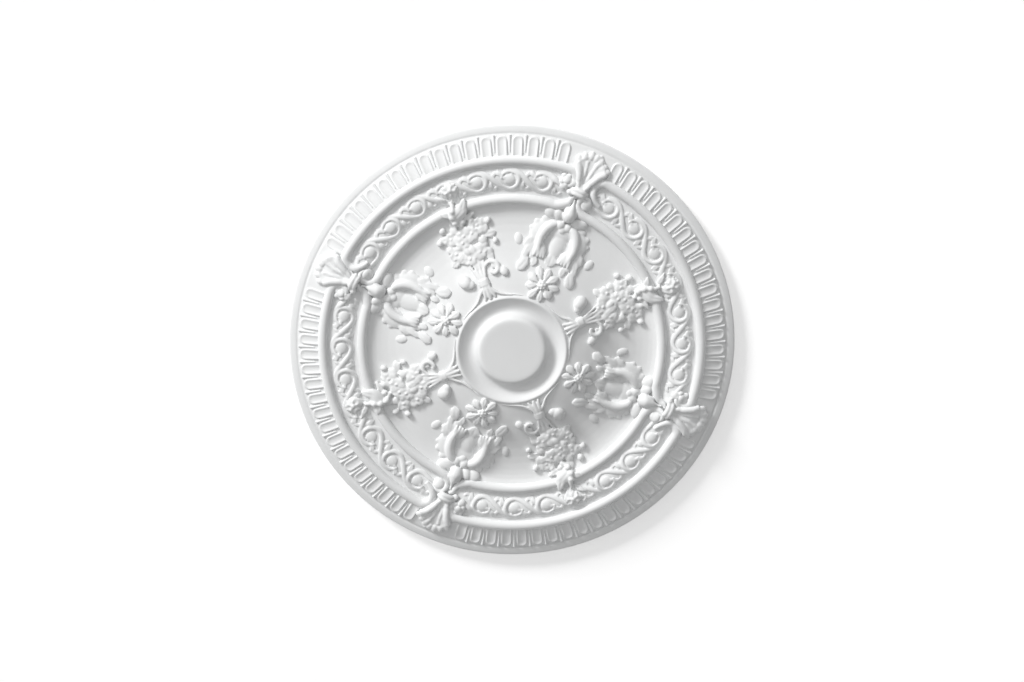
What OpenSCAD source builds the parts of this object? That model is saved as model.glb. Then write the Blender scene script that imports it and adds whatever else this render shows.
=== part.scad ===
// Round ceiling rose, cast in one piece. The back lies at z = 0 against the ceiling and the
// ornament hangs down along -Z. The ornament is drawn face up and turned over at the end.

/* [Overall] */
// Diameter across the outer edge, mm
rose_d = 700; // [500:10:900]
// Projection of the centre disc below the ceiling, mm
rose_h = 58; // [45:1:80]
// Diameter of the centre disc at its foot, mm
disc_d = 112; // [80:1:160]
// Diameter of the raised lip round the dish, mm
lip_d = 170; // [130:1:230]
// Thickness of the plain outer edge, mm
edge_t = 7; // [4:0.5:14]

/* [Mouldings] */
// Radius of the two framing beads, mm
bead_r = 8.5; // [6:0.5:12]
// Diameter of the inner bead's centre line, mm
inner_bead_d = 470; // [420:1:540]
// Diameter of the outer bead's centre line, mm
outer_bead_d = 594; // [540:1:700]
// Height of the frieze's rounded crest above its foot, mm
frieze_rise = 4; // [2:0.5:8]

/* [Tongue band] */
// Tongues in each quarter of the band
tongue_n = 18; // [12:1:24]
// Width of one tongue, mm
tongue_w = 16; // [10:0.5:20]
// Height of a tongue's rim above the band, mm
tongue_t = 2.2; // [1:0.1:4]
// Width of a tongue's rim, mm
rim_w = 2.4; // [1.5:0.1:3.5]

/* [Ornament] */
// Radius of a scroll's round eye, mm
eye_r = 9; // [6:0.5:12]
// Radius of the scrolls' stems, mm
stem_r = 3.2; // [2:0.1:5]
// Radius of a daisy over its petals, mm
daisy_r = 29; // [20:0.5:36]
// Petals on each daisy
petal_n = 11; // [7:1:14]
// Length of the crossing's fan leaf, mm
fan_len = 60; // [40:1:75]
// Half width of a bouquet, mm
bouquet_w = 44; // [30:1:60]

/* [Hidden] */
R = rose_d / 2;
k = rose_d / 700;
hz = rose_h / 58;
ib = inner_bead_d / 2;
ob = outer_bead_d / 2;
// Axes of the crossings; the bouquets stand half way between them.
cross_a = -22;
half_q = 45;
// The turned profile, as radius and height pairs from the centre outward.
dish_r = lip_d / 2 - 22 * k;
field_z = 18 * hz;
band_z = 20.5 * hz;
tip_r = 0.959 * R;
tip_z = edge_t + 2.6 * hz;
prof = [
  [0, 0],
  [R, 0],
  [R, edge_t - 1.5],
  [R - 2.5, edge_t],
  [0.966 * R, edge_t + 1.4 * hz],
  [0.963 * R, edge_t + 0.4 * hz],
  [tip_r, tip_z],
  [ob + 9 * k, band_z],
  [ob - 12.5 * k, band_z],
  [ib + 12.5 * k, band_z],
  [ib - 9 * k, band_z - 0.5 * hz],
  [ib - 21 * k, field_z + 0.2 * hz],
  [ib - 35 * k, field_z],
  [0.52 * R, 21.6 * hz],
  [0.43 * R, 30.6 * hz],
  [0.33 * R, 42.6 * hz],
  [lip_d / 2 + 4.5 * k, 48.2 * hz],
  [lip_d / 2 + 2 * k, 51.6 * hz],
  [lip_d / 2 - 1.5 * k, 52.8 * hz],
  [lip_d / 2 - 4.5 * k, 50.6 * hz],
  [lip_d / 2 - 11 * k, 45.6 * hz],
  [dish_r + 4 * k, 43.2 * hz],
  [disc_d / 2 + 2.5 * k, 43.4 * hz],
  [disc_d / 2 - 3 * k, rose_h - 1.6 * hz],
  [disc_d / 2 - 5.5 * k, rose_h],
  [0, rose_h]
];
// Height of the profile at a radius, by straight lines between its points.
function seg(r, i) = r >= prof[i + 1][0] || i >= len(prof) - 2 ? i : seg(r, i + 1);
function mix(r, a, b) = a[1] + (b[1] - a[1]) * (r - a[0]) / (b[0] - a[0]);
function sz(r) = let (i = seg(min(r, R - 3), 4)) mix(min(r, R - 3), prof[i], prof[i + 1]);
function hyp(u, v) = sqrt(u * u + v * v);

// Stand children at an angle and radius, x clockwise and y outward.
module at(a, r) {
  rotate([0, 0, a - 90])
    translate([0, r, 0])
      children();
}
// A point (u, v) of an ornament whose axis points outward, raised by h over the profile.
module on(u, v, h = 0) {
  translate([u, v, sz(hyp(u, v)) + h])
    children();
}
module ball(u, v, r, sink) {
  on(u, v, -sink)
    sphere(r = r, $fn = 48);
}
// A pointed leaf outline from the origin along y.
module almond(l, w) {
  rr = (l * l / 4 + w * w / 4) / w;
  intersection() {
    translate([rr - w / 2, l / 2])
      circle(r = rr, $fn = 96);
    translate([w / 2 - rr, l / 2])
      circle(r = rr, $fn = 96);
  }
}
module blade(u, v, a, l, w) {
  translate([u, v])
    rotate([0, 0, a])
      almond(l, w);
}
// A flat group of leaves cut to one outline, tilted with the ground about the line y = v.
module spray(v, h, t, tilt) {
  translate([0, v, sz(v) + h - t])
    rotate([tilt, 0, 0])
      translate([0, -v, 0])
        linear_extrude(height = t)
          union() {
            children();
          }
}
module arc(rc, rt, a0, sweep) {
  rotate([0, 0, a0])
    rotate_extrude(angle = sweep, $fn = 96)
      translate([rc, 0])
        circle(r = rt, $fn = 32);
}
module rod(l, r) {
  rotate([-90, 0, 0])
    cylinder(r = r, h = l, $fn = 32);
}

module body() {
  color([0.93, 0.92, 0.90])
    union() {
      rotate_extrude($fn = 240)
        polygon(prof);
      frieze();
    }
}
module frieze() {
  h = (ob - ib - 25 * k) / 2;
  rise = frieze_rise * hz;
  fr = (h * h + rise * rise) / (2 * rise);
  rotate_extrude($fn = 240)
    intersection() {
      translate([(ob + ib) / 2, band_z - 1 + rise - fr])
        circle(r = fr, $fn = 200);
      translate([ib + 9 * k, band_z - 6])
        square([ob - ib - 18 * k, 6 + rise]);
    }
}
// One framed sector of the two beads, between two crossings.
module beads() {
  zo = band_z - 0.5;
  g = 6.6;
  gi = 3.6;
  rotate([0, 0, g])
    rotate_extrude(angle = 90 - g - 7.2, $fn = 240)
      translate([ob, zo])
        circle(r = bead_r, $fn = 32);
  rotate([0, 0, gi + 2.9])
    rotate_extrude(angle = 90 - gi - 9.6, $fn = 240)
      translate([ib, zo])
        circle(r = bead_r, $fn = 32);
}
// The beads' rounded ends at a crossing, two of them curling round an eye.
module hook(u, v, ro, cut) {
  translate([u, v])
    difference() {
      circle(r = ro, $fn = 96);
      circle(r = ro - 10 * k, $fn = 96);
      rotate([0, 0, cut])
        square([ro * 1.2, ro * 1.2]);
    }
}
module hooks() {
  spray(ob, 5, 14, 0) {
    hook(-22.5 * k, ob - 12 * k, 17 * k, 125);
    hook(36.5 * k, ob - 14 * k, 18 * k, -60);
    translate([-22.5 * k, ob - 12 * k])
      circle(r = 6 * k, $fn = 48);
  }
  spray(ib, 5, 12, 0) {
    hook(-15.5 * k, ib + 15 * k, 17 * k, 60);
    hook(22.5 * k, ib + 15 * k, 17 * k, -50);
    translate([22.5 * k, ib + 15 * k])
      circle(r = 6 * k, $fn = 48);
  }
}
// A tongue's outline, open toward the rose's middle, with its round end outward.
module tongue_outline(hw, len) {
  union() {
    translate([0, -tongue_w / 2 - 0.8])
      circle(r = hw, $fn = 48);
    translate([-hw, -len - 2])
      square([2 * hw, len + 1.2 - tongue_w / 2]);
  }
}
// The raised rim of one hollow tongue, tilted with the band.
module tongue() {
  slope = atan2(band_z - tip_z, tip_r - ob - 9 * k);
  len = (tip_r - ob - 9 * k) / cos(slope);
  translate([0, tip_r, tip_z])
    rotate([-slope, 0, 0])
      translate([0, 0, -3])
        linear_extrude(height = 3 + tongue_t)
          difference() {
            tongue_outline(tongue_w / 2, len);
            translate([0, -0.01])
              tongue_outline(tongue_w / 2 - rim_w, len + 1);
          }
}
module tongues() {
  pitch = 74.5 / (tongue_n - 1);
  for (i = [0 : tongue_n - 1])
    at(7.3 + i * pitch, 0)
      tongue();
}
// One turn of the running scroll in outline: the stem curling round its eye and on to the next.
module scroll(i) {
  rm = (ib + ob) / 2;
  p = rm * sin(11);
  ro = 16 * k;
  rotate([0, 0, i * 11 - 90])
    translate([0, rm])
      union() {
        difference() {
          circle(r = ro, $fn = 96);
          circle(r = ro - 2 * stem_r * k, $fn = 96);
          translate([-ro, ro * 0.25])
            rotate([0, 0, -52])
              square([ro * 1.1, ro * 0.9]);
        }
        circle(r = (eye_r - 2.5) * k, $fn = 48);
        translate([3 * k, 13.4 * k])
          rotate([0, 0, -90 - atan2(26 * k, p - 8 * k)])
            translate([-2.2 * k, 0])
              square([4.4 * k, hyp(p - 8 * k, 26 * k)]);
      }
}
// The scrolls of one sector stand on the frieze as one carved strip, with an eye in each turn.
module scrolls() {
  z = band_z + frieze_rise * hz;
  translate([0, 0, z - 5])
    linear_extrude(height = 6.2)
      union() {
        for (j = [-3 : 3])
          scroll(j + half_q / 11);
      }
}
// The fan leaf, its tie, and the bulb, petals and ball below it.
module crossing() {
  w = ob - 16 * k;
  spray(w, 12, 14, -14)
    for (i = [-3 : 3])
      blade(4 * k + i * 2.6 * k, w - 4 * k, -i * 12, (fan_len - abs(i) * 5) * k, 13 * k);
  ball(4 * k, w + 4 * k, 7.5 * k, -3);
  on(4 * k, ib + 30 * k, 3)
    translate([-16 * k, 0, 0])
      rotate([0, 90, 0])
        cylinder(r = 4 * k, h = 32 * k, $fn = 32);
  spray(ib, 9, 12, 6) {
    blade(3 * k, ib - 15 * k, 0, 28 * k, 17 * k);
    blade(-6 * k, ib - 13 * k, 84, 27 * k, 14 * k);
    blade(9 * k, ib - 14 * k, -82, 33 * k, 14 * k);
  }
  ball(3 * k, ib - 4 * k, 8.5 * k, -4);
  ball(3 * k, 0.583 * R, 9.8 * k, 1);
}
// The acanthus pair: curled heads, bladed lobes and small side leaves.
module acanthus() {
  x = 4 * k;
  spray(0.44 * R, 5.5, 12, -17)
    for (s = [-1, 1]) {
      blade(x + s * 22 * k, 0.41 * R, -s * 8, 44 * k, 20 * k);
      blade(x + s * 30 * k, 0.42 * R, -s * 20, 32 * k, 11 * k);
      blade(x + s * 16 * k, 0.41 * R, s * 10, 32 * k, 10 * k);
      blade(x + s * 40 * k, 0.335 * R, -s * 12, 38 * k, 12 * k);
      blade(x + s * 44 * k, 0.35 * R, -s * 38, 24 * k, 10 * k);
      blade(x + s * 42 * k, 0.375 * R, -s * 62, 20 * k, 9 * k);
    }
  for (s = [-1, 1]) {
    on(x + s * 18 * k, 0.535 * R, 1)
      arc(9.5 * k, 4 * k, s > 0 ? -60 : 10, 230);
  }
}
module daisy() {
  on(2.5 * k, 0.3285 * R, 2)
    rotate([-16, 0, 0]) {
      translate([0, 0, -6])
        linear_extrude(height = 9)
          union() {
            for (i = [0 : petal_n - 1])
              rotate([0, 0, i * 360 / petal_n])
                translate([0, 2 * k])
                  almond((daisy_r - 2) * k, 13.4 * k * 11 / petal_n);
          }
      sphere(r = 7.2 * k, $fn = 48);
    }
}
// A tied bunch of flowers rising from the lip, its chain crossing the inner bead.
module bouquet() {
  w = bouquet_w * k;
  spray(0.33 * R, 5, 12, -16) {
    for (i = [-1 : 1])
      blade(3 * k + i * 4 * k, 0.25 * R, -i * 30, 32 * k, 11 * k);
    for (i = [-1 : 1])
      blade(3 * k, 0.31 * R, -i * 12, 50 * k, 6 * k);
    blade(-0.2 * w, 0.34 * R, 62, 34 * k, 13 * k);
    blade(0.25 * w, 0.335 * R, -58, 34 * k, 12 * k);
    for (i = [0 : 8])
      let (a = i * 40 + 20)
        blade(3 * k + 0.42 * w * sin(a), 0.515 * R + 0.36 * w * cos(a), -a, 0.68 * w, 13 * k);
    translate([3 * k, 0.515 * R])
      circle(r = 0.55 * w, $fn = 96);
  }
  on(-6 * k, 0.331 * R, 4)
    rotate([0, 90, 0])
      cylinder(r = 2.6 * k, h = 18 * k, $fn = 24);
  ball(-0.62 * w, 0.356 * R, 9 * k, -1);
  ball(0.68 * w, 0.36 * R, 10 * k, -1);
  // Blooms round the bunch's middle, every second one smaller.
  for (i = [0 : 6])
    let (a = i * 360 / 7 + 15, q = w * 0.5)
      ball(q * sin(a) + 3 * k, 0.515 * R + q * cos(a), (8.6 - i % 2 * 1.4) * k, -2.5);
  ball(3 * k, 0.515 * R, 9 * k, -3.5);
  ball(0, 0.612 * R, 6 * k, -2);
  spray(ib, 8, 11, 0) {
    blade(6 * k, 0.625 * R, -38, 32 * k, 11 * k);
    blade(-2 * k, 0.632 * R, 46, 28 * k, 11 * k);
    blade(2 * k, 0.69 * R, 26, 28 * k, 9 * k);
    blade(4 * k, 0.69 * R, -30, 30 * k, 9 * k);
  }
}
module quarter(i) {
  a = cross_a + i * 90;
  rotate([0, 0, a]) {
    beads();
    tongues();
    scrolls();
    at(0, 0) {
      hooks();
      crossing();
      acanthus();
      daisy();
    }
    at(half_q, 0)
      bouquet();
  }
}
module ceiling_rose() {
  color([0.93, 0.92, 0.90])
    rotate([180, 0, 0])
      union() {
        body();
        for (i = [0 : 3])
          quarter(i);
      }
}
ceiling_rose();
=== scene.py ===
import math
import bpy
import numpy as np
from mathutils import Matrix, Vector


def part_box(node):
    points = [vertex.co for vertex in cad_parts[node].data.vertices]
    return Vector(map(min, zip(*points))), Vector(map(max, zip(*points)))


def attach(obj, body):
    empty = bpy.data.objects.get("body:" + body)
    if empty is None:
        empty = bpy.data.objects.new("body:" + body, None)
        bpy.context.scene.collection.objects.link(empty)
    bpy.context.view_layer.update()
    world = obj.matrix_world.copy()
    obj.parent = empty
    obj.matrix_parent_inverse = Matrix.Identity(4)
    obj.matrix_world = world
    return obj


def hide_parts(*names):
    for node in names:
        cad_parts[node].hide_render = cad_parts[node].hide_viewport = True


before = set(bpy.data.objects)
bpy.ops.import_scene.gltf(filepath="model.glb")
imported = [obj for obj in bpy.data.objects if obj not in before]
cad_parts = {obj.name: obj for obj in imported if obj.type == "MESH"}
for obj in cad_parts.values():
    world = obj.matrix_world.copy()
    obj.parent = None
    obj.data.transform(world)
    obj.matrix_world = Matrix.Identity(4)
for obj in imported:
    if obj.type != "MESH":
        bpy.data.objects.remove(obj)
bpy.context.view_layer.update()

# The frame's sizes.
low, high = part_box("ceiling_rose")
outerR = (high[0] - low[0]) / 2  # radius of the plain outer edge
faceDrop = high[2] - low[2]  # how far the centre disc hangs down
mm = 0.001
drawnDrop = 58.0  # mm that the disc hangs down in the profile below
heightScale = faceDrop / drawnDrop  # metres for each mm of the profile
crossTurn = -22.0  # degrees from +X of the first crossing, drawn face up
quarters = 4

# The rose is drawn face up (x right, y away, z out of the ceiling) and turned over at the end.
turnOver = Matrix.Diagonal((1.0, -1.0, -1.0, 1.0))

# Turned profile as share of the radius and height in mm, without the two beads.
profilePoints = [(0.0, drawnDrop), (0.130, drawnDrop), (0.141, 57.5), (0.149, 56.2), (0.1555, 53.6),
                 (0.161, 49.8), (0.167, 46.6), (0.176, 44.6), (0.188, 44.0), (0.200, 44.8), (0.211, 46.4),
                 (0.221, 48.4), (0.230, 50.6), (0.2365, 52.2), (0.241, 52.8), (0.2455, 52.3),
                 (0.250, 50.6), (0.255, 49.2), (0.265, 48.2), (0.275, 47.3), (0.300, 45.2), (0.330, 42.3),
                 (0.360, 38.9), (0.400, 33.9), (0.440, 28.9), (0.480, 24.6), (0.520, 21.2), (0.555, 19.0),
                 (0.585, 18.0), (0.610, 18.0), (0.630, 18.7), (0.645, 20.0), (0.655, 20.8), (0.700, 20.8),
                 (0.713, 20.4), (0.722, 21.8), (0.735, 23.6), (0.750, 24.7), (0.763, 25.0), (0.776, 24.7),
                 (0.790, 23.6), (0.803, 21.8), (0.812, 20.4), (0.826, 20.8), (0.872, 20.6), (0.884, 19.5),
                 (0.900, 17.7), (0.930, 14.0), (0.957, 10.6), (0.962, 8.4), (0.966, 9.0), (0.970, 9.3),
                 (0.984, 7.9), (0.991, 6.9)]
fineSteps = 1401
softening = [0.06, 0.12, 0.2, 0.24, 0.2, 0.12, 0.06]  # weights that round the profile's corners
fineR = np.linspace(0.0, 1.0, fineSteps)
fineH = np.interp(fineR, [p[0] for p in profilePoints], [p[1] for p in profilePoints])
fineH = np.convolve(np.pad(fineH, len(softening) // 2, mode="edge"), softening, "valid")


def groundAt(x, y):
    return np.interp(np.hypot(x, y) / outerR, fineR, fineH) * heightScale


# Helpers for picking, joining and copying meshes.
def clearSelection():
    if bpy.context.object and bpy.context.object.mode != "OBJECT":
        bpy.ops.object.mode_set(mode="OBJECT")
    bpy.ops.object.select_all(action="DESELECT")


def pick(pieces):
    clearSelection()
    for piece in pieces:
        piece.select_set(True)
    bpy.context.view_layer.objects.active = pieces[0]


def pointsOf(piece):
    flat = np.empty(len(piece.data.vertices) * 3)
    piece.data.vertices.foreach_get("co", flat)
    return flat.reshape(-1, 3)


def movePoints(piece, points):
    piece.data.vertices.foreach_set("co", np.asarray(points, dtype=float).ravel())
    piece.data.update()


def applyModifier(piece, kind, **settings):
    mod = piece.modifiers.new(kind.title(), kind)
    for name, value in settings.items():
        setattr(mod, name, value)
    pick([piece])
    bpy.ops.object.modifier_apply(modifier=mod.name)


def joined(pieces, name):
    pick(pieces)
    if len(pieces) > 1:
        bpy.ops.object.join()
    whole = bpy.context.object
    whole.name = name
    whole.data.name = name
    return whole


def copied(piece, name):
    twin = piece.copy()
    twin.data = piece.data.copy()
    twin.name = name
    twin.data.name = name
    bpy.context.scene.collection.objects.link(twin)
    return twin


def draped(piece):
    points = pointsOf(piece)
    points[:, 2] += groundAt(points[:, 0], points[:, 1])
    movePoints(piece, points)


def smoothPath(corners, steps):
    # a Catmull-Rom curve through the corners
    pts = [np.array(c, dtype=float) for c in corners]
    pts = [2 * pts[0] - pts[1]] + pts + [2 * pts[-1] - pts[-2]]
    out = []
    for i in range(1, len(pts) - 2):
        a, b, c, d = pts[i - 1], pts[i], pts[i + 1], pts[i + 2]
        for t in np.arange(steps) / steps:
            bow = 2 * a - 5 * b + 4 * c - d
            swing = 3 * b - 3 * c + d - a
            out.append(0.5 * (2 * b + (c - a) * t + bow * t ** 2 + swing * t ** 3))
    out.append(pts[-2])
    return out


thinnestStem = 0.3 * mm


def at(u, v, up, size):
    # a stem's corner: its place in share of the radius, its height and radius in mm
    return (u * outerR, v * outerR, up * mm, size * mm)


def stem(corners, steps, sides=3):
    # corners are (x, y, height, radius); a round stem is swept along them and made a mesh
    path = smoothPath(corners, steps)
    curve = bpy.data.curves.new("stem", "CURVE")
    curve.dimensions = "3D"
    curve.bevel_depth = 1.0
    curve.bevel_resolution = sides
    curve.use_fill_caps = True
    line = curve.splines.new("POLY")
    line.points.add(len(path) - 1)
    for point, (x, y, height, radius) in zip(line.points, path):
        point.co = (x, y, height, 1.0)
        point.radius = max(radius, thinnestStem)
    holder = bpy.data.objects.new("stem", curve)
    bpy.context.scene.collection.objects.link(holder)
    pick([holder])
    bpy.ops.object.convert(target="MESH")
    return bpy.context.object


clearSelection()
bpy.ops.mesh.primitive_grid_add(x_subdivisions=12, y_subdivisions=18, size=1.0, location=(0, 0, 0))
leafPatch = bpy.context.object
leafPatch.name = "leafPatch"
clearSelection()
bpy.ops.mesh.primitive_uv_sphere_add(segments=20, ring_count=12, radius=1.0, location=(0, 0, 0))
ballPatch = bpy.context.object
ballPatch.name = "ballPatch"


def leaf(base, turn, length, width, rise, bend=0.0, full=0.8, lobes=0, lobeDepth=0.15, cup=0.35,
         tipLift=0.0, lift=0.0, thick=5.0, point=0.9, groove=0.0):
    # A cast leaf: base in share of the radius, turn in degrees clockwise from outward, sizes in mm.
    # full over 1 puts its widest place nearer the tip, and a low point blunts its ends.
    piece = copied(leafPatch, "leaf")
    grid = pointsOf(piece)
    s = grid[:, 0] * 2
    t = np.clip(grid[:, 1] + 0.5, 0.0, 1.0)
    half = width / 2 * np.clip(np.sin(np.pi * np.clip(t, 0.012, 0.988) ** full), 0, 1) ** point
    if lobes:
        half = half * (1 - lobeDepth * (0.5 + 0.5 * np.cos(2 * np.pi * lobes * t)))
    angle = np.radians(bend)
    if abs(angle) > 0.01:
        cx = length / angle * (1 - np.cos(angle * t))
        cy = length / angle * np.sin(angle * t)
    else:
        cx, cy = np.zeros_like(t), length * t
    x = cx + s * half * np.cos(angle * t)
    y = cy - s * half * np.sin(angle * t)
    h = lift + rise * np.sin(np.pi * np.clip(t * 0.86 + 0.1, 0, 1)) ** 0.7 - cup * rise * s ** 2
    h = h + tipLift * np.clip((t - 0.55) / 0.45, 0, 1) ** 2
    if groove:
        h = h - groove * np.exp(-(s / 0.16) ** 2) * np.sin(np.pi * t) ** 0.5
    a = np.radians(-turn)
    gx = base[0] * outerR + (x * np.cos(a) - y * np.sin(a)) * mm
    gy = base[1] * outerR + (x * np.sin(a) + y * np.cos(a)) * mm
    movePoints(piece, np.stack([gx, gy, h * mm], axis=1))
    applyModifier(piece, "SOLIDIFY", thickness=thick * mm, offset=-1.0)
    return piece


def ball(base, radius, height=0.0, squash=1.0, stretch=1.0, turn=0.0):
    # A round bud, squashed in height and stretched along its turn.
    piece = copied(ballPatch, "ball")
    p = pointsOf(piece)
    a = np.radians(-turn)
    x, y = p[:, 0] * radius, p[:, 1] * radius * stretch
    gx = base[0] * outerR + (x * np.cos(a) - y * np.sin(a)) * mm
    gy = base[1] * outerR + (x * np.sin(a) + y * np.cos(a)) * mm
    movePoints(piece, np.stack([gx, gy, (p[:, 2] * radius * squash + height) * mm], axis=1))
    return piece


def flower(base, radius, petals, height, rise, heart):
    # A small open bloom: petals round a domed heart.
    pieces = []
    for i in range(petals):
        pieces.append(leaf(base, i * 360 / petals, radius, radius * 4.6 / petals, rise, full=1.5,
                           cup=-0.5, lift=height, tipLift=-1.0, groove=0.6, thick=4.0, point=0.7))
    pieces.append(ball(base, radius * heart, height + rise * 0.9, 0.9))
    return pieces


def withoutCrumbs(whole, name, least=150):
    # The remesh can leave tiny closed bubbles inside; only the real islands stay.
    pick([whole])
    bpy.ops.object.mode_set(mode="EDIT")
    bpy.ops.mesh.select_all(action="SELECT")
    bpy.ops.mesh.separate(type="LOOSE")
    bpy.ops.object.mode_set(mode="OBJECT")
    islands = list(bpy.context.selected_objects)
    kept = [island for island in islands if len(island.data.polygons) >= least]
    clearSelection()
    for island in islands:
        if len(island.data.polygons) < least:
            bpy.data.objects.remove(island)
    return joined(kept, name)


def cast(pieces, name, voxel, soften, lowered=1.0):
    # The modelled parts, laid on the profile, run together as one relief with softened edges. The
    # voxel is in mm, and lowered flattens the relief by that share before it is laid on.
    whole = joined(pieces, name)
    points = pointsOf(whole)
    points[:, 2] *= lowered
    movePoints(whole, points)
    draped(whole)
    applyModifier(whole, "REMESH", mode="VOXEL", voxel_size=voxel * mm, use_smooth_shade=True)
    whole = withoutCrumbs(whole, name)
    applyModifier(whole, "SMOOTH", factor=0.5, iterations=soften)
    return whole


finished = []


def placeRound(master, name, turns):
    # One finished model is copied round the rose and turned over to face down.
    for number, turn in enumerate(turns):
        twin = copied(master, name + str(number + 1))
        twin.data.transform(turnOver @ Matrix.Rotation(math.radians(turn), 4, "Z"))
        finished.append(twin)
    clearSelection()
    bpy.data.objects.remove(master)


crossTurns = [crossTurn - 90 + 90 * i for i in range(quarters)]
bouquetTurns = [crossTurn - 45 + 90 * i for i in range(quarters)]


# Turned body.
body = dict(around=264, rowStep=0.0042, flatStep=1.9, steep=0.168, mouldedFrom=0.6, lastRow=0.991,
            rim=0.99999, backLand=0.94, backHub=0.30, backStep=1.3)


def buildBody():
    # rows lie close on the moulded band and on slopes, and wider where the profile is flat
    rows = [(0.0, fineH[0])]
    share = 0.0
    while share < body["lastRow"] - 0.003:
        change = abs(np.interp(share + 0.004, fineR, fineH) - np.interp(share, fineR, fineH))
        close = change > body["steep"] or share > body["mouldedFrom"]
        share += body["rowStep"] * (1.0 if close else body["flatStep"])
        rows.append((share, float(np.interp(share, fineR, fineH))))
    rows = [r for r in rows if r[0] < body["lastRow"]]
    # the outer edge, then the back: a land, a shallow step and a hub
    rim, land, hub, step = body["rim"], body["backLand"], body["backHub"], body["backStep"]
    edge = [(0.9925, 6.7), (0.9955, 6.2), (0.9985, 5.3), (rim, 4.0), (rim, 1.0), (0.998, 0.0),
            (land, 0.0), (land - 0.004, step), (hub, step), (hub - 0.004, 0.0), (0.0, 0.0)]
    clearSelection()
    bpy.ops.mesh.primitive_plane_add(size=0.001, location=(0, 0, 0))
    lathe = bpy.context.object
    lathe.name = "turnedBody"
    bpy.ops.object.mode_set(mode="EDIT")
    bpy.ops.mesh.select_all(action="SELECT")
    bpy.ops.mesh.merge(type="CENTER")
    points = [(r * outerR, h * heightScale) for r, h in rows]
    points += [(r * outerR, h * mm) for r, h in edge]
    bpy.ops.transform.translate(value=(points[0][0], 0, points[0][1]))
    here = points[0]
    for there in points[1:]:
        move = (there[0] - here[0], 0, there[1] - here[1])
        bpy.ops.mesh.extrude_vertices_move(TRANSFORM_OT_translate={"value": move})
        here = there
    bpy.ops.mesh.select_all(action="SELECT")
    bpy.ops.mesh.spin(steps=body["around"], angle=2 * math.pi, center=(0, 0, 0), axis=(0, 0, 1))
    bpy.ops.mesh.select_all(action="SELECT")
    bpy.ops.mesh.remove_doubles(threshold=0.00002)
    bpy.ops.mesh.normals_make_consistent(inside=False)
    bpy.ops.object.mode_set(mode="OBJECT")
    pick([lathe])
    bpy.ops.object.shade_smooth_by_angle(angle=math.radians(40))
    lathe.data.transform(turnOver)
    finished.append(lathe)
    return lathe


turnedBody = buildBody()
print("turned body", len(turnedBody.data.polygons))


# Tongue band.
tongues = dict(count=18, first=7.3, pitch=4.382, half=9.7, rim=2.4, rise=2.5, hollow=0.6, fall=4.2,
               margin=1.0, sink=2.0, taper=0.07, inner=0.872, outer=0.9585, dartMiddle=0.922,
               dartLength=0.070, dartFoot=2.5, dartTip=1.0)


def buildTongues():
    clearSelection()
    bpy.ops.mesh.primitive_grid_add(x_subdivisions=16, y_subdivisions=18, size=1.0, location=(0, 0, 0))
    tongue = bpy.context.object
    grid = pointsOf(tongue)
    inner, outer = tongues["inner"] * outerR, tongues["outer"] * outerR
    length = outer - inner
    half, margin, sink = tongues["half"] * mm, tongues["margin"] * mm, tongues["sink"] * mm
    # the patch runs under the bead at its inner end and sinks into the ground round its rim
    y = inner - sink + (grid[:, 1] + 0.5) * (length + sink + margin)
    wide = 1 - tongues["taper"] + tongues["taper"] * (y - inner) / length
    x = grid[:, 0] * 2 * (half + margin) * wide
    end = outer - half
    d = np.where(y > end, np.hypot(x / wide, y - end), np.abs(x / wide)) / mm
    top = tongues["half"] - tongues["rim"]
    inside = tongues["hollow"] + (tongues["rise"] - tongues["hollow"]) * np.clip(d / top, 0, 1) ** 2.6
    outside = tongues["rise"] - tongues["fall"] * (np.clip(d - top, 0, None) / tongues["rim"]) ** 2.0
    h = np.where(d < top, inside, np.maximum(outside, -tongues["sink"])) * mm
    movePoints(tongue, np.stack([x, y, h], axis=1))
    applyModifier(tongue, "SOLIDIFY", thickness=sink, offset=-1.0)
    clearSelection()
    middle, depth = tongues["dartMiddle"] * outerR, tongues["dartLength"] * outerR
    bpy.ops.mesh.primitive_cone_add(vertices=12, radius1=tongues["dartFoot"] * mm,
                                    radius2=tongues["dartTip"] * mm, depth=depth,
                                    location=(0, middle, 0.5 * mm), rotation=(math.radians(90), 0, 0))
    dart = bpy.context.object
    bpy.ops.object.transform_apply(location=True, rotation=True, scale=True)
    parts = []
    for i in range(tongues["count"]):
        turn = math.radians(tongues["first"] + i * tongues["pitch"])
        twin = copied(tongue, "tongue")
        twin.data.transform(Matrix.Rotation(turn, 4, "Z"))
        parts.append(twin)
        if i < tongues["count"] - 1:
            twin = copied(dart, "dart")
            twin.data.transform(Matrix.Rotation(turn + math.radians(tongues["pitch"] / 2), 4, "Z"))
            parts.append(twin)
    band = joined(parts, "tongueBand")
    draped(band)
    clearSelection()
    bpy.data.objects.remove(tongue)
    bpy.data.objects.remove(dart)
    pick([band])
    bpy.ops.object.shade_smooth_by_angle(angle=math.radians(70))
    placeRound(band, "tongueBand", crossTurns)


buildTongues()
print("tongue band")


# The two framing beads of one quarter, whose ends turn in at the crossings.
beads = dict(radius=7.8, outer=0.848, inner=0.672)


def nextCross(point):
    return (-point[1], point[0]) + tuple(point[2:])


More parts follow.
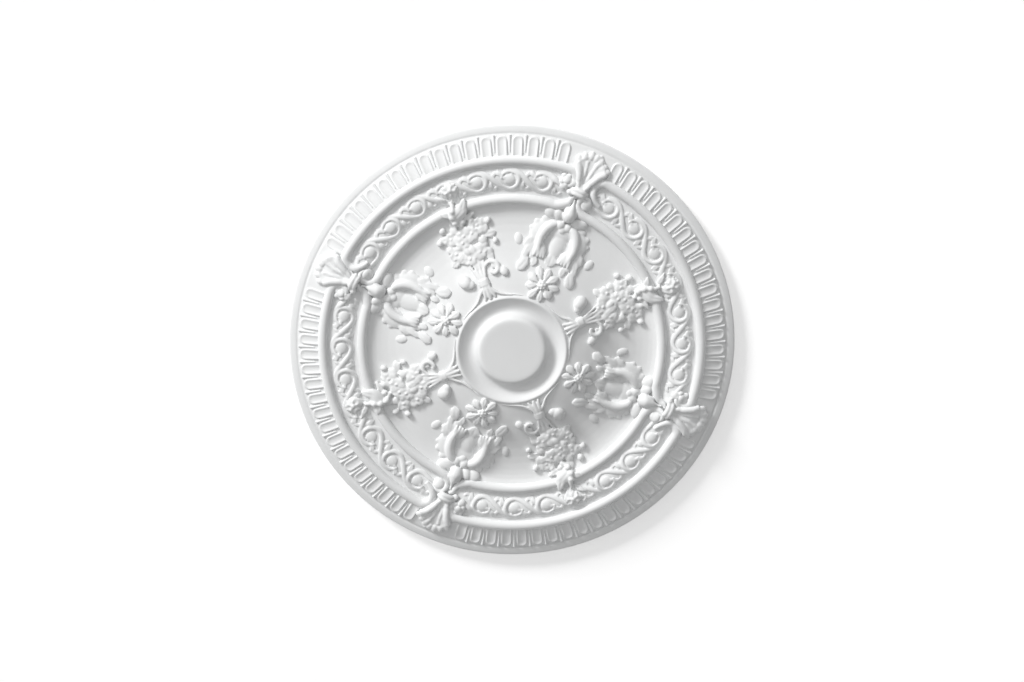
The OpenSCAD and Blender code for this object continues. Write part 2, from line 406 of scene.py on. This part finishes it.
def buildBeads():
    def turnIn(u, v, size, up=0.0):
        # a corner where the bead turns in: it gets thinner and rises a little
        return at(u, v, up, size)

    def sweep(rho, a0, a1):
        steps = int((a1 - a0) / 2)
        out = []
        for i in range(steps + 1):
            a = math.radians(90 + a0 + (a1 - a0) * i / steps)
            out.append(at(rho * math.cos(a), rho * math.sin(a), 0.0, beads["radius"]))
        return out

    outerPath = [turnIn(-0.058, 0.782, 3.6, 2.0), turnIn(-0.043, 0.781, 4.6, 2.0),
                 turnIn(-0.031, 0.792, 5.6, 1.5), turnIn(-0.0275, 0.811, 6.6, 1.0),
                 turnIn(-0.034, 0.831, 7.4, 0.5), turnIn(-0.049, 0.844, 8.0)]
    outerPath += sweep(beads["outer"], 5.0, 90 - 8.0)
    outerPath += [nextCross(p) for p in (turnIn(0.098, 0.840, 8.2), turnIn(0.081, 0.829, 7.6, 0.5),
                                         turnIn(0.0705, 0.810, 6.8, 1.0), turnIn(0.070, 0.788, 5.8, 1.5),
                                         turnIn(0.080, 0.768, 5.0, 1.5),
                                         turnIn(0.097, 0.751, 4.2, 1.0), turnIn(0.118, 0.738, 3.6, 0.5))]
    innerPath = [turnIn(0.008, 0.745, 3.0, 1.5), turnIn(-0.004, 0.733, 4.2, 1.5),
                 turnIn(-0.009, 0.716, 5.4, 1.2), turnIn(-0.019, 0.698, 6.6, 1.0),
                 turnIn(-0.037, 0.684, 7.6, 0.5)]
    innerPath += sweep(beads["inner"], 5.6, 90 - 7.2)
    innerPath += [nextCross(p) for p in (turnIn(0.060, 0.673, 7.6, 0.5), turnIn(0.043, 0.683, 6.8, 1.0),
                                         turnIn(0.0315, 0.700, 6.0, 1.2), turnIn(0.029, 0.722, 5.2, 1.5),
                                         turnIn(0.037, 0.742, 4.6, 2.0),
                                         turnIn(0.054, 0.750, 4.0, 2.0), turnIn(0.070, 0.744, 3.4, 2.0),
                                         turnIn(0.076, 0.731, 3.0, 2.0))]
    parts = [stem(outerPath, 4, 4), stem(innerPath, 4, 4)]
    parts.append(ball((-0.060, 0.800), 7.4, 3.0, 0.9))
    pair = joined(parts, "framingBead")
    draped(pair)
    pick([pair])
    bpy.ops.object.shade_smooth()
    placeRound(pair, "framingBead", crossTurns)


buildBeads()
print("framing beads")


# Running scroll frieze.
frieze = dict(middle=0.7625, scrolls=7, pitch=11.0, eye=9.4)


def buildFrieze():
    ring = frieze["middle"] * outerR
    last = frieze["scrolls"] // 2
    parts = []
    for i in range(-last, last + 1):
        def along(x, y, up, size, i=i):
            # x runs clockwise from the eye, y outward, all in mm
            a = math.radians(90 - i * frieze["pitch"]) - x * mm / ring
            rad = ring + y * mm
            return (rad * math.cos(a), rad * math.sin(a), up * mm, size * mm)

        def spot(x, y, i=i):
            p = along(x, y, 0, 0)
            return (p[0] / outerR, p[1] / outerR)

        def curl(shift, along=along):
            # the stem's end, curling up round an eye and over its top
            return [along(shift + 1, -15.6, -0.4, 4.0), along(shift + 11.6, -11.0, 0.0, 3.7),
                    along(shift + 15.8, -0.5, 0.2, 3.5), along(shift + 12.0, 9.8, 0.4, 3.2),
                    along(shift + 1.5, 13.6, 0.5, 2.9), along(shift - 8.6, 9.8, 0.6, 2.5),
                    along(shift - 11.8, 1.4, 0.6, 1.8)]

        facing = i * frieze["pitch"]
        over = [along(-9, 15.0, 0.3, 1.3), along(0, 17.0, 0.5, 2.0), along(11, 15.0, 0.7, 2.8)]
        if i < last:
            down = [along(20.5, 7.4, -0.8, 4.0), along(30, -2.8, -1.6, 4.8),
                    along(40.5, -12.0, -1.2, 4.6)]
            parts.append(stem(over + down + curl(51.0), 6, 4))
        if i == -last:
            parts.append(stem([along(-27, -11, 0.8, 2.2), along(-14, -13.5, 1.0, 3.4)] + curl(0.0), 6, 4))
        if i == last:
            away = [along(20, 8.4, 1.4, 4.2), along(29, 2.5, 1.2, 2.8), along(34, 2.0, 1.0, 1.4)]
            parts.append(stem(over + away, 6, 4))
        parts.append(ball(spot(0.8, 0.0), frieze["eye"], -0.6, 0.36))
        parts.append(ball(spot(-7.0, 3.0), 3.2, 0.2, 0.7))
        parts.append(leaf(spot(-17.5, 17.0), facing + 156, 14, 8.5, 2.8, full=1.2, lift=0.2, groove=0.8))
        parts.append(leaf(spot(-20.0, 15.0), facing + 200, 12, 7.0, 2.4, full=1.0, lift=0.1))
        parts.append(leaf(spot(21.0, -18.5), facing + 8, 16, 8.5, 2.8, full=0.9, lift=0.1, groove=0.8))
        parts.append(leaf(spot(25.0, -18.0), facing + 50, 13, 7.0, 2.4, full=0.9, lift=0.1))
    placeRound(cast(parts, "scrollFrieze", 1.25, 1, 0.76), "scrollFrieze", bouquetTurns)


buildFrieze()
print("scroll frieze")


# Crossing ornament.
crossing = dict(axis=0.012, waist=0.782)


def buildCrossing():
    x, w = crossing["axis"], crossing["waist"]

    parts = [leaf((x + 0.002, w - 0.012), 4, 58, 47, 3.0, full=1.6, cup=-1.2, lift=2.0,
                  thick=9.0, point=0.7)]
    # the fan leaf's two raised sides and two low ribs: side steps, then the tip's place, size and height
    ribs = ((-0.012, -0.030, -0.058, 0.895, 5.6, 7.0), (-0.004, -0.009, -0.016, 0.912, 3.4, 5.0),
            (0.004, 0.016, 0.030, 0.910, 3.4, 5.0), (0.013, 0.040, 0.078, 0.886, 5.6, 7.4))
    for u0, u1, u2, tip, size, up in ribs:
        mid = (w + tip) / 2
        lower = [at(x + u0, w, 5.5, 3.0), at(x + (u0 + u1) / 2, (w + mid) / 2, up, size * 0.8)]
        upper = [at(x + u1, mid, up, size * 0.9),
                 at(x + (u1 + u2) / 2 - u1 * 0.05, (mid + tip) / 2, up - 2.0, size),
                 at(x + u2, tip - 0.004, 3.6, size)]
        parts.append(stem(lower + upper, 6, 4))
    knobs = ((-0.044, 0.903, 5.6), (-0.022, 0.922, 5.6), (0.004, 0.932, 5.4), (0.028, 0.930, 5.0),
             (0.050, 0.918, 5.6), (0.072, 0.904, 5.2), (0.090, 0.888, 5.4))
    for u, v, size in knobs:
        parts.append(ball((u, v), size, 3.0, 0.8, 1.3, u * 600))
    for dy, reach in ((-0.006, 0.034), (0.012, 0.040)):
        parts.append(stem([at(x - reach, 0.757 + dy, 2.5, 2.6), at(x - 0.018, 0.763 + dy, 7.5, 3.8),
                           at(x + 0.016, 0.761 + dy, 8.5, 4.0),
                           at(x + reach, 0.754 + dy, 2.5, 2.6)], 6, 4))
    parts.append(ball((0.064, 0.720), 9.8, 1.6, 0.7))
    # a ruffled ball in the outer bead's curl
    for b in (0.4, 1.7, 2.9, 4.1, 5.4):
        parts.append(ball((-0.062 + 0.019 * math.sin(b), 0.799 + 0.019 * math.cos(b)), 5.0, 2.6, 0.9))
    parts.append(ball((-0.064, 0.768), 7.2, 1.2, 0.7))
    parts.append(ball((-0.028, 0.752), 5.4, 3.0, 0.9))
    # the bud below the waist with its two side petals, and the lobed boss under them
    parts.append(stem([at(x, 0.620, 1.5, 6.4), at(x, 0.638, 3.6, 10.4), at(x, 0.660, 5.0, 9.8),
                       at(x - 0.001, 0.682, 6.0, 6.2), at(x - 0.002, 0.703, 5.5, 2.6),
                       at(x - 0.004, 0.728, 4.5, 1.8)], 6, 5))
    for side, turn in ((-1, -16), (1, 18)):
        parts.append(leaf((x + side * 0.008, 0.628), turn, 25, 11, 7.0, full=0.75, cup=0.5, lift=2.5,
                          groove=0.8, thick=8.0, point=0.7))
    parts.append(ball((-0.068, 0.632), 10.0, 0.8, 0.62, 1.1, -78))
    parts.append(ball((-0.034, 0.636), 8.0, 2.4, 0.8, 1.25, -40))
    parts.append(ball((0.072, 0.627), 9.0, 0.8, 0.66, 1.5, 76))
    parts.append(ball((x - 0.020, 0.594), 8.0, 2.2, 0.85))
    parts.append(ball((x + 0.016, 0.592), 7.4, 1.8, 0.85))
    parts.append(ball((x - 0.004, 0.574), 7.4, 1.6, 0.85))
    placeRound(cast(parts, "crossing", 1.2, 2), "crossing", crossTurns)


buildCrossing()
print("crossings")


# Acanthus pair in the field.
acanthus = dict(axis=0.010, fingers=4)


def buildAcanthus():
    parts = []
    c = acanthus["axis"]
    for s in (-1, 1):
        def beside(u, v, up, size, s=s):
            return at(c + s * u, v, up, size)

        # the smooth hood, and the rolled edge that runs round its hollow
        parts.append(ball((c + s * 0.090, 0.540), 15.5, -1.0, 0.44, 1.35, s * -24))
        parts.append(stem([beside(0.014, 0.590, 0.6, 3.0), beside(0.034, 0.590, 2.4, 5.4),
                           beside(0.056, 0.578, 3.4, 7.0), beside(0.073, 0.552, 3.8, 7.6),
                           beside(0.080, 0.520, 4.2, 6.8), beside(0.078, 0.486, 4.6, 5.8),
                           beside(0.071, 0.458, 4.2, 4.6), beside(0.063, 0.440, 3.0, 3.4)], 8, 4))
        parts.append(ball((c + s * 0.060, 0.462), 9.5, 1.6, 0.62, 1.25, s * 24))
        for shift in range(acanthus["fingers"]):
            base = (c + s * (0.084 - shift * 0.010), 0.494 - shift * 0.007)
            parts.append(leaf(base, s * (192 + shift * 7), 23 - shift * 2, 5.4, 3.2, bend=s * -20,
                              full=1.1, cup=0.4, lift=5.6 - shift * 0.6, thick=7.0, point=0.5))
        # rounded lobes fanning out and down from the hood
        hanging = ((146, 0.102, 0.514, 26, 13), (160, 0.095, 0.504, 40, 14.5),
                   (177, 0.088, 0.478, 25, 12))
        for turn, u, v, length, width in hanging:
            parts.append(leaf((c + s * u, v), s * turn, length, width, 4.6, bend=s * 14, full=1.2,
                              lobes=3, lobeDepth=0.22, cup=0.5, lift=0.6, thick=7.0,
                              groove=1.0, point=0.5))
        # small lobes along the hood's outer edge
        edging = ((0.052, 0.604, 6.0), (0.084, 0.590, 6.6), (0.112, 0.566, 6.2), (0.124, 0.536, 5.6))
        for u, v, size in edging:
            parts.append(ball((c + s * u, v), size, -0.2, 0.55, 1.3, s * (10 + u * 500)))
        # the small leaf hanging beside the daisy
        parts.append(leaf((c + s * 0.098, 0.412), s * 158, 26, 18, 4.6, full=1.1, lobes=2, lobeDepth=0.14,
                          cup=0.4, lift=0.6, groove=1.0, thick=7.0, point=0.5))
        parts.append(leaf((c + s * 0.066, 0.428), s * 176, 17, 11, 3.4, full=0.9, lift=0.6,
                          groove=0.9, point=0.6))
        parts.append(ball((c + s * 0.168, 0.470), 7.2, -1.4, 0.6, 1.45, s * 28))
    # the smooth mass between the hoods, with small leaves at its foot
    parts.append(ball((c + 0.002, 0.562), 19.0, -1.6, 0.36, 0.8, 0))
    parts.append(ball((c + 0.003, 0.510), 13.5, -1.4, 0.46, 1.8, 0))
    parts.append(leaf((c, 0.404), 0, 22, 19, 3.2, full=0.8, cup=0.4, lift=0.6, groove=0.9, point=0.6))
    for side in (-1, 1):
        parts.append(leaf((c + side * 0.004, 0.420), side * 52, 15, 8, 3.0, full=0.9,
                          lift=0.6, point=0.7))
    placeRound(cast(parts, "acanthusPair", 1.25, 3), "acanthusPair", crossTurns)


buildAcanthus()
print("acanthus pairs")


# Daisy.
daisy = dict(middle=(0.0125, 0.325), petals=9, radius=26.0, heart=7.0, seeds=6)


def buildDaisy():
    m = daisy["middle"]
    parts = []
    for i in range(daisy["petals"]):
        turn = i * 360 / daisy["petals"] + 8
        a = math.radians(turn)
        base = (m[0] + 0.012 * math.sin(a), m[1] + 0.012 * math.cos(a))
        reach = daisy["radius"] - 3.0 + (i % 3 - 1) * 1.2
        parts.append(leaf(base, turn, reach, 13.4, 4.4, full=1.9, cup=0.8, lift=1.2 + (i % 2) * 1.5,
                          tipLift=-0.2, groove=1.2, thick=6.0, point=0.6))
    parts.append(ball(m, daisy["heart"], 4.0, 0.75))
    for i in range(daisy["seeds"]):
        a = 2 * math.pi * i / daisy["seeds"]
        parts.append(ball((m[0] + 0.013 * math.sin(a), m[1] + 0.013 * math.cos(a)), 2.2, 7.0))
    parts.append(ball(m, 2.6, 8.2))
    placeRound(cast(parts, "daisy", 1.0, 1), "daisy", crossTurns)


buildDaisy()
print("daisies")


# Tied bouquet.
bouquet = dict(middle=(0.008, 0.512), half=0.088, blooms=30)
goldenAngle = 137.5  # degrees, which spreads the blooms evenly


def buildBouquet():
    parts = []

    # the ribbed foot stands on the lip, and two thin tails run along it
    for u0, u1, size in ((-0.002, -0.013, 3.0), (0.007, 0.006, 3.6), (0.016, 0.025, 3.0)):
        parts.append(stem([at(u0, 0.322, 3.2, size), at((u0 + u1) / 2, 0.298, 3.0, size),
                           at(u1, 0.272, 2.2, size - 0.4),
                           at(u1 * 1.3 - 0.002, 0.252, 0.6, size - 1.0)], 6))
    for s in (-1, 1):
        parts.append(stem([at(0.007 + s * 0.004, 0.316, 3.0, 2.6), at(s * 0.026, 0.294, 2.6, 2.6),
                           at(s * 0.052, 0.264, 1.6, 2.2), at(s * 0.084, 0.244, 1.0, 1.7),
                           at(s * 0.116, 0.229, 0.6, 1.2), at(s * 0.146, 0.211, 0.2, 0.8)], 6))
    # four stems spread from the knot into the bunch, under the three turns of its tie
    stalks = ((-0.004, -0.030, 0.425), (0.002, -0.010, 0.440), (0.010, 0.014, 0.440),
              (0.016, 0.040, 0.425))
    for u0, u1, v1 in stalks:
        parts.append(stem([at(u0, 0.315, 2.0, 2.0), at(u0, 0.335, 3.2, 2.2),
                           at((u0 + u1) / 2, 0.38, 3.0, 2.2), at(u1, v1, 2.0, 2.0)], 6))
    for dv in (0.0, 0.010, 0.020):
        parts.append(stem([at(-0.020, 0.320 + dv, 1.0, 1.5), at(-0.006, 0.322 + dv, 5.2, 1.8),
                           at(0.016, 0.322 + dv, 5.2, 1.8), at(0.030, 0.320 + dv, 1.0, 1.5)], 5))
    # a bulging bud on one side of the stems, a curled leaf and a small bud on the other
    parts.append(ball((-0.074, 0.362), 10.2, 2.2, 0.85, 1.1, -30))
    parts.append(ball((-0.058, 0.346), 7.4, 1.8, 0.85, 1.25, -50))
    parts.append(leaf((-0.030, 0.334), -74, 24, 13, 4.0, full=1.1, lift=0.4, groove=1.4,
                      cup=0.4, point=0.6))
    parts.append(stem([at(0.018, 0.368, 1.2, 2.0), at(0.036, 0.394, 2.0, 2.6), at(0.062, 0.406, 2.6, 3.2),
                       at(0.088, 0.392, 3.0, 3.6), at(0.089, 0.366, 3.0, 3.8), at(0.068, 0.353, 3.0, 3.6),
                       at(0.051, 0.364, 3.0, 3.0)], 6))
    parts.append(leaf((0.064, 0.372), 40, 11, 9, 3.4, full=0.9, lift=1.0, groove=1.0, point=0.6))
    parts.append(ball((0.107, 0.344), 6.6, 1.6, 0.8, 1.3, -20))
    # the bunch: buds, petals and small florets crowd outward from its middle, over a low mound
    parts.append(ball(bouquet["middle"], 27.0, -1.0, 0.17, 1.0))
    bunchU, bunchV = bouquet["middle"]
    for n in range(bouquet["blooms"]):
        share = math.sqrt((n + 0.6) / bouquet["blooms"])
        turn = n * goldenAngle + 20
        a = math.radians(turn)
        u = bunchU + bouquet["half"] * share * math.sin(a)
        v = bunchV + bouquet["half"] * share * math.cos(a)
        up = 1.6 + 4.4 * (1 - share ** 2)
        if n % 3 == 0 or n % 5 == 1:
            base = (u - 0.014 * math.sin(a), v - 0.014 * math.cos(a))
            parts.append(leaf(base, turn + 30 - n % 5 * 15, 19 - n % 4, 13.0, 4.8, full=1.35, cup=0.5,
                              lift=up - 1, groove=0.7, thick=7.0, point=0.5))
        elif n % 3 == 1:
            parts.append(ball((u, v), 5.8 - n % 4 * 0.4, up, 0.75, 1.3, turn + n * 31))
        else:
            for j in range(4):
                spin = math.degrees(j * math.pi * 0.5 + n)
                parts.append(leaf((u, v), spin, 12.0, 10.5, 3.6, full=1.5, cup=-0.2, lift=up - 0.6,
                                  groove=0.4, thick=5.0, point=0.55))
            parts.append(ball((u, v), 2.6, up + 2.4))
    berries = ((-0.112, 0.556, 4.8), (0.122, 0.478, 4.4), (0.126, 0.572, 4.8), (-0.080, 0.602, 5.2),
               (0.056, 0.600, 4.8))
    for u, v, size in berries:
        parts.append(ball((u, v), size, 2.6, 0.95, 1.15, 40))
    reach = bouquet["half"] * 0.86
    for turn in (-128, -66, -20, 52, 88, 140, 176):
        a = math.radians(turn)
        base = (bunchU + reach * math.sin(a), bunchV + reach * math.cos(a))
        parts.append(leaf(base, turn, 20, 12.5, 4.0, full=1.15, lift=0.6, groove=1.3,
                          bend=16, point=0.55))
    # the chain over the inner bead, up to the rosette in the frieze
    parts.append(stem([at(0.012, 0.590, 5, 3.4), at(-0.008, 0.615, 6, 4.0), at(-0.014, 0.640, 8, 4.2),
                       at(-0.010, 0.662, 9, 4.2), at(0.004, 0.686, 8, 3.8), at(0.008, 0.715, 4, 3.0)], 7))
    chain = ((-0.012, 0.618, 5.0, 9.5), (-0.014, 0.646, 5.2, 9.5), (-0.004, 0.674, 5.0, 9.5),
             (0.022, 0.610, 4.6, 5.5))
    for u, v, size, up in chain:
        parts.append(ball((u, v), size, up))
    parts.append(leaf((-0.028, 0.628), 64, 38, 21, 5.4, full=1.1, cup=0.5, lift=6.6, groove=1.0,
                      thick=10, point=0.6))
    parts.append(leaf((0.020, 0.640), 36, 30, 13, 4.6, full=1.0, lift=6.5, groove=1.4,
                      thick=9, point=0.6))
    parts.append(leaf((0.020, 0.615), 78, 24, 10, 4.2, full=0.9, lift=3.0, groove=1.5, thick=7))
    parts.append(leaf((-0.012, 0.652), -58, 20, 10, 4.2, full=1.0, lift=6.5, groove=1.4, thick=9))
    parts.append(leaf((-0.002, 0.702), -30, 26, 9, 4.4, full=0.8, lift=1.0, groove=1.5, bend=-20))
    parts.append(leaf((0.010, 0.702), 34, 28, 9, 4.4, full=0.8, lift=1.0, groove=1.5, bend=20))
    parts += flower((0.024, 0.765), 11.5, 5, 2.0, 3.4, 0.34)
    placeRound(cast(parts, "bouquet", 1.25, 2), "bouquet", bouquetTurns)


buildBouquet()
print("bouquets")
clearSelection()
bpy.data.objects.remove(leafPatch)
bpy.data.objects.remove(ballPatch)


# Plaster.
def buildCastGroup():
    group = bpy.data.node_groups.new("castSurface", "ShaderNodeTree")
    face = group.interface
    for name, value in (("Grain", 900.0), ("Wave", 14.0), ("Depth", 0.35)):
        face.new_socket(name=name, in_out="INPUT", socket_type="NodeSocketFloat").default_value = value
    face.new_socket(name="Tone", in_out="OUTPUT", socket_type="NodeSocketFloat")
    face.new_socket(name="Normal", in_out="OUTPUT", socket_type="NodeSocketVector")
    nodes, links = group.nodes, group.links
    start = nodes.new("NodeGroupInput")
    end = nodes.new("NodeGroupOutput")
    place = nodes.new("ShaderNodeTexCoord")
    grain = nodes.new("ShaderNodeTexNoise")
    grain.inputs["Detail"].default_value = 3.0
    wave = nodes.new("ShaderNodeTexNoise")
    wave.inputs["Detail"].default_value = 4.0
    links.new(place.outputs["Object"], grain.inputs["Vector"])
    links.new(place.outputs["Object"], wave.inputs["Vector"])
    links.new(start.outputs["Grain"], grain.inputs["Scale"])
    links.new(start.outputs["Wave"], wave.inputs["Scale"])
    mixed = nodes.new("ShaderNodeMath")
    mixed.operation = "MULTIPLY_ADD"
    mixed.inputs[1].default_value = 0.35
    links.new(grain.outputs["Fac"], mixed.inputs[0])
    links.new(wave.outputs["Fac"], mixed.inputs[2])
    bump = nodes.new("ShaderNodeBump")
    bump.inputs["Distance"].default_value = 0.0004
    links.new(start.outputs["Depth"], bump.inputs["Strength"])
    links.new(mixed.outputs["Value"], bump.inputs["Height"])
    links.new(mixed.outputs["Value"], end.inputs["Tone"])
    links.new(bump.outputs["Normal"], end.inputs["Normal"])
    return group


castGroup = buildCastGroup()


def plasterMaterial(name, pale, deep, rough, grain, wave, depth):
    material = bpy.data.materials.new(name)
    material.use_nodes = True
    nodes, links = material.node_tree.nodes, material.node_tree.links
    shader = nodes["Principled BSDF"]
    shader.inputs["Roughness"].default_value = rough
    shader.inputs["Specular IOR Level"].default_value = 0.35
    surface = nodes.new("ShaderNodeGroup")
    surface.node_tree = castGroup
    surface.inputs["Grain"].default_value = grain
    surface.inputs["Wave"].default_value = wave
    surface.inputs["Depth"].default_value = depth
    tone = nodes.new("ShaderNodeValToRGB")
    tone.color_ramp.elements[0].position = 0.42
    tone.color_ramp.elements[0].color = (*deep, 1)
    tone.color_ramp.elements[1].position = 0.85
    tone.color_ramp.elements[1].color = (*pale, 1)
    links.new(surface.outputs["Tone"], tone.inputs["Fac"])
    links.new(tone.outputs["Color"], shader.inputs["Base Color"])
    links.new(surface.outputs["Normal"], shader.inputs["Normal"])
    return material


whitePlaster = plasterMaterial("whitePlaster", (0.855, 0.862, 0.862), (0.82, 0.827, 0.828), 0.62,
                               900.0, 14.0, 0.35)
backPlaster = plasterMaterial("struckBack", (0.80, 0.80, 0.79), (0.75, 0.75, 0.738), 0.85,
                              420.0, 46.0, 0.9)

for piece in finished:
    piece.data.materials.clear()
    piece.data.materials.append(whitePlaster)
turnedBody.data.materials.append(backPlaster)
normals = np.empty(len(turnedBody.data.polygons) * 3)
turnedBody.data.polygons.foreach_get("normal", normals)
slots = (normals.reshape(-1, 3)[:, 2] > 0.8).astype(np.int32)
turnedBody.data.polygons.foreach_set("material_index", slots)

for piece in finished:
    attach(piece, "root")
    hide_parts("ceiling_rose")
    piece.data.calc_loop_triangles()
print("pieces", len(finished), "triangles", sum(len(p.data.loop_triangles) for p in finished))


# Studio. Directions are (x, y) towards the light, tilts are degrees below the ceiling.
studio = dict(distance=6.0, elevation=-75.0, aim=(0.0, -0.005, -0.014), sensor=36.0,
              shareOfWidth=0.435547, keySide=(-0.91, -1.08), keyTilt=22.5, keyPower=2.52, keySoft=14,
              windowSide=(-1, -1), windowTilt=48.0, windowPower=0.93, windowSoft=85, topPower=1.6,
              topSoft=30, fill=0.243)
room = dict(gap=0.011, ceilingSize=9.0, ceilingShade=0.86, ceilingGlow=0.345, floorDrop=2.2,
            floorSize=14.0, floorShade=0.75, floorGlow=0.05)


def stageMaterial(name, shade, glow):
    # Seen and struck by light from its front only.
    material = bpy.data.materials.new(name)
    material.use_nodes = True
    nodes, links = material.node_tree.nodes, material.node_tree.links
    shader = nodes["Principled BSDF"]
    shader.inputs["Base Color"].default_value = (shade, shade, shade, 1)
    shader.inputs["Roughness"].default_value = 0.9
    shader.inputs["Emission Color"].default_value = (1, 1, 1, 1)
    shader.inputs["Emission Strength"].default_value = glow
    clear = nodes.new("ShaderNodeBsdfTransparent")
    side = nodes.new("ShaderNodeNewGeometry")
    mix = nodes.new("ShaderNodeMixShader")
    links.new(side.outputs["Backfacing"], mix.inputs["Fac"])
    links.new(shader.outputs["BSDF"], mix.inputs[1])
    links.new(clear.outputs["BSDF"], mix.inputs[2])
    links.new(mix.outputs["Shader"], nodes["Material Output"].inputs["Surface"])
    return material


clearSelection()
bpy.ops.mesh.primitive_plane_add(size=room["ceilingSize"], location=(0, 0, room["gap"]),
                                 rotation=(math.pi, 0, 0))
ceiling = bpy.context.object
ceiling.name = "stageCeiling"
ceiling.data.materials.append(stageMaterial("stageCeilingWhite", room["ceilingShade"],
                                            room["ceilingGlow"]))
clearSelection()
bpy.ops.mesh.primitive_plane_add(size=room["floorSize"], location=(0, 0, -room["floorDrop"]))
floor = bpy.context.object
floor.name = "stageFloor"
floor.visible_shadow = False  # the key light comes from under it
floor.visible_diffuse = False
floor.data.materials.append(stageMaterial("stageFloorPale", room["floorShade"], room["floorGlow"]))

lens = bpy.data.cameras.new("camera")
camera = bpy.data.objects.new("camera", lens)
bpy.context.scene.collection.objects.link(camera)
tilt = math.radians(studio["elevation"])
aim = Vector(studio["aim"])
camera.location = aim + Vector((0, -math.cos(tilt), math.sin(tilt))) * studio["distance"]
camera.rotation_euler = (aim - camera.location).to_track_quat("-Z", "Y").to_euler()
lens.sensor_width = studio["sensor"]
lens.lens = studio["sensor"] * studio["distance"] * studio["shareOfWidth"] / (2 * outerR)
lens.clip_end = 60.0
bpy.context.scene.camera = camera


def sunFrom(name, direction, power, soft):
    light = bpy.data.lights.new(name, "SUN")
    light.energy = power
    light.angle = math.radians(soft)
    holder = bpy.data.objects.new(name, light)
    bpy.context.scene.collection.objects.link(holder)
    holder.rotation_euler = (-Vector(direction)).to_track_quat("-Z", "Y").to_euler()


def below(side, tilt):
    # a direction towards the light, down by the tilt: the sides above are about sqrt(2) long
    return (*side, -math.tan(math.radians(tilt)) * math.sqrt(2))


sunFrom("keyLight", below(studio["keySide"], studio["keyTilt"]), studio["keyPower"], studio["keySoft"])
sunFrom("windowLight", below(studio["windowSide"], studio["windowTilt"]), studio["windowPower"],
        studio["windowSoft"])
sunFrom("topLight", (-0.6, -0.5, 1.0), studio["topPower"], studio["topSoft"])
world = bpy.data.worlds.new("softRoom")
world.use_nodes = True
world.node_tree.nodes["Background"].inputs["Color"].default_value = (1, 1, 1, 1)
world.node_tree.nodes["Background"].inputs["Strength"].default_value = studio["fill"]
bpy.context.scene.world = world
bpy.context.scene.view_settings.view_transform = "Standard"
print("studio ready")
